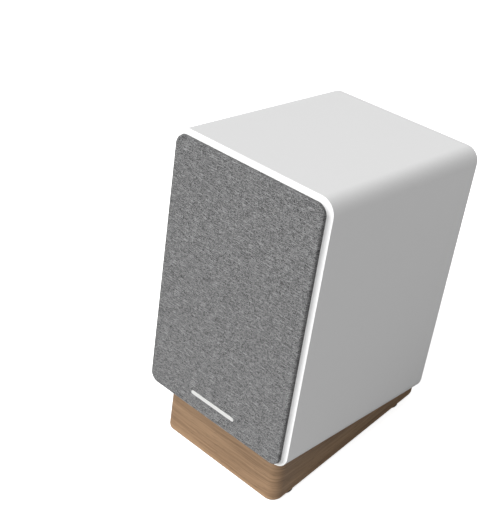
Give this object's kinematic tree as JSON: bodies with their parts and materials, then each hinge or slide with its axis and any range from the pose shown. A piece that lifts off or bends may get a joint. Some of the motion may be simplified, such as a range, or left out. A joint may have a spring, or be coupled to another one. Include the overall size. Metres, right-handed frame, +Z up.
{
  "type": "bookshelf speaker",
  "caption": "Compact two-way powered desktop speaker in a rounded white cabinet with a proud cloth grille, leaning back on a wooden wedge stand.",
  "frame": {"origin": "under the middle of the whole speaker, on the surface it stands on", "axes": "+Z up, +X across the front to the right as seen from the front, +Y from front to back"},
  "size_m": [0.148, 0.2142, 0.2696],
  "materials": {
    "walnut": "matte oiled veneer",
    "foot_rubber": "matte",
    "white_lacquer": "satin white lacquer on board",
    "black_board": "matte black paint on board",
    "grille_plastic": "matte",
    "grille_fabric": "heathered grey weave",
    "badge_metal": "satin",
    "black_plastic": "matte",
    "cone_paper": "matte woven cone",
    "surround_rubber": "satin",
    "spider_cloth": "treated cotton",
    "basket_paint": "matte black",
    "plated_steel": "zinc plated",
    "black_steel": "black oxide",
    "ferrite": "sintered ceramic, dull",
    "copper_wire": "enamelled winding",
    "former_film": "satin film",
    "brass": "bright",
    "magnet_nickel": "nickel plated",
    "wadding": "loose white fibre",
    "panel_aluminium": "fine black texture",
    "circuit_board": "green solder mask",
    "winding_tape": "yellow tape over a steel core",
    "capacitor_sleeve": "shrink sleeve",
    "bare_aluminium": "extruded",
    "dome_fabric": "coated silk",
    "wire_jacket": "PVC",
    "red_plastic": "gloss",
    "knob_plastic": "fine matte with a fluted edge"
  },
  "bodies": {
    "cabinet": {"stand_wedge": "walnut", "stand_feet": "foot_rubber", "stand_foot_screws": "plated_steel", "stand_pad": "foot_rubber", "stand_bolts": "black_steel", "threaded_inserts": "brass", "cabinet_shell": "white_lacquer", "front_baffle": "black_board", "rear_panel": "white_lacquer", "baffle_magnets": "magnet_nickel", "damping_foam": "wadding", "port_tube": "black_plastic", "woofer_basket": "basket_paint", "woofer_gasket": "foot_rubber", "woofer_surround": "surround_rubber", "woofer_spider": "spider_cloth", "woofer_top_plate": "plated_steel", "woofer_magnet": "ferrite", "woofer_back_plate": "plated_steel", "woofer_terminals": "black_plastic", "woofer_screws": "black_steel", "tweeter_faceplate": "black_plastic", "tweeter_surround": "surround_rubber", "tweeter_top_plate": "plated_steel", "tweeter_magnet": "ferrite", "tweeter_yoke": "plated_steel", "tweeter_screws": "black_steel", "speaker_leads": "wire_jacket", "amp_panel": "panel_aluminium", "amp_panel_screws": "black_steel", "amp_board": "circuit_board", "amp_standoffs": "brass", "transformer": "winding_tape", "filter_capacitors": "capacitor_sleeve", "heat_sink": "bare_aluminium", "volume_encoder": "plated_steel", "pair_switch": "black_plastic", "rocker_housing": "black_plastic", "mains_inlet": "black_plastic", "digital_sockets": "black_plastic", "rca_jacks": "brass", "binding_posts": "brass"},
    "grille": {"grille_frame": "grille_plastic", "grille_cloth": "grille_fabric", "grille_magnets": "magnet_nickel", "badge": "badge_metal"},
    "woofer_cone_assembly": {"woofer_cone": "cone_paper", "woofer_dust_cap": "cone_paper", "woofer_coil_former": "former_film", "woofer_voice_coil": "copper_wire"},
    "tweeter_dome_assembly": {"tweeter_dome": "dome_fabric", "tweeter_voice_coil": "copper_wire"},
    "volume_control": {"volume_knob": "knob_plastic", "volume_shaft": "plated_steel"},
    "pairing_button": {"pair_button": "black_plastic"},
    "power_switch_rocker": {"power_rocker": "black_plastic"},
    "red_post_nut": {"red_post_sleeve": "brass"},
    "red_post_grip": {"red_post_cap": "red_plastic"},
    "black_post_nut": {"black_post_sleeve": "brass"},
    "black_post_grip": {"black_post_cap": "black_plastic"}
  },
  "joints": [
    {"name": "grille_pull", "type": "slide", "parent": "cabinet", "child": "grille", "axis": [0, -0.9848, 0.1736], "range_m": [0, 0.03]},
    {"name": "woofer_travel", "type": "slide", "parent": "cabinet", "child": "woofer_cone_assembly", "axis": [0, -0.9848, 0.1736], "range_m": [-0.0035, 0.0035], "stiffness_N_per_m": 1000, "deforming": ["woofer_surround", "woofer_spider"]},
    {"name": "tweeter_travel", "type": "slide", "parent": "cabinet", "child": "tweeter_dome_assembly", "axis": [0, -0.9848, 0.1736], "range_m": [-0.0003, 0.0003], "stiffness_N_per_m": 1500, "deforming": ["tweeter_surround"]},
    {"name": "volume_turn", "type": "hinge", "parent": "cabinet", "child": "volume_control", "pos_m": [0, 0.09517, 0.13713], "axis": [0, 0.9848, -0.1736], "continuous": true},
    {"name": "pair_press", "type": "slide", "parent": "cabinet", "child": "pairing_button", "axis": [0, -0.9848, 0.1736], "range_m": [0, 0.0008], "stiffness_N_per_m": 600},
    {"name": "power_rock", "type": "hinge", "parent": "cabinet", "child": "power_switch_rocker", "pos_m": [0.026, 0.07201, 0.05186], "axis": [1, 0, 0], "range_deg": [0, 24]},
    {"name": "red_post_travel", "type": "slide", "parent": "cabinet", "child": "red_post_nut", "axis": [0, 0.9848, -0.1736], "range_m": [0, 0.0024]},
    {"name": "red_post_turn", "type": "hinge", "parent": "red_post_nut", "child": "red_post_grip", "pos_m": [-0.013, 0.08742, 0.08163], "axis": [0, 0.9848, -0.1736], "range_deg": [0, 1081]},
    {"name": "black_post_travel", "type": "slide", "parent": "cabinet", "child": "black_post_nut", "axis": [0, 0.9848, -0.1736], "range_m": [0, 0.0024]},
    {"name": "black_post_turn", "type": "hinge", "parent": "black_post_nut", "child": "black_post_grip", "pos_m": [-0.032, 0.08742, 0.08163], "axis": [0, 0.9848, -0.1736], "range_deg": [0, 1081]}
  ],
  "couplings": [
    {"joint": "red_post_turn", "follows": "red_post_travel", "rad_per_m": 7854},
    {"joint": "black_post_turn", "follows": "black_post_travel", "rad_per_m": 7854}
  ]
}
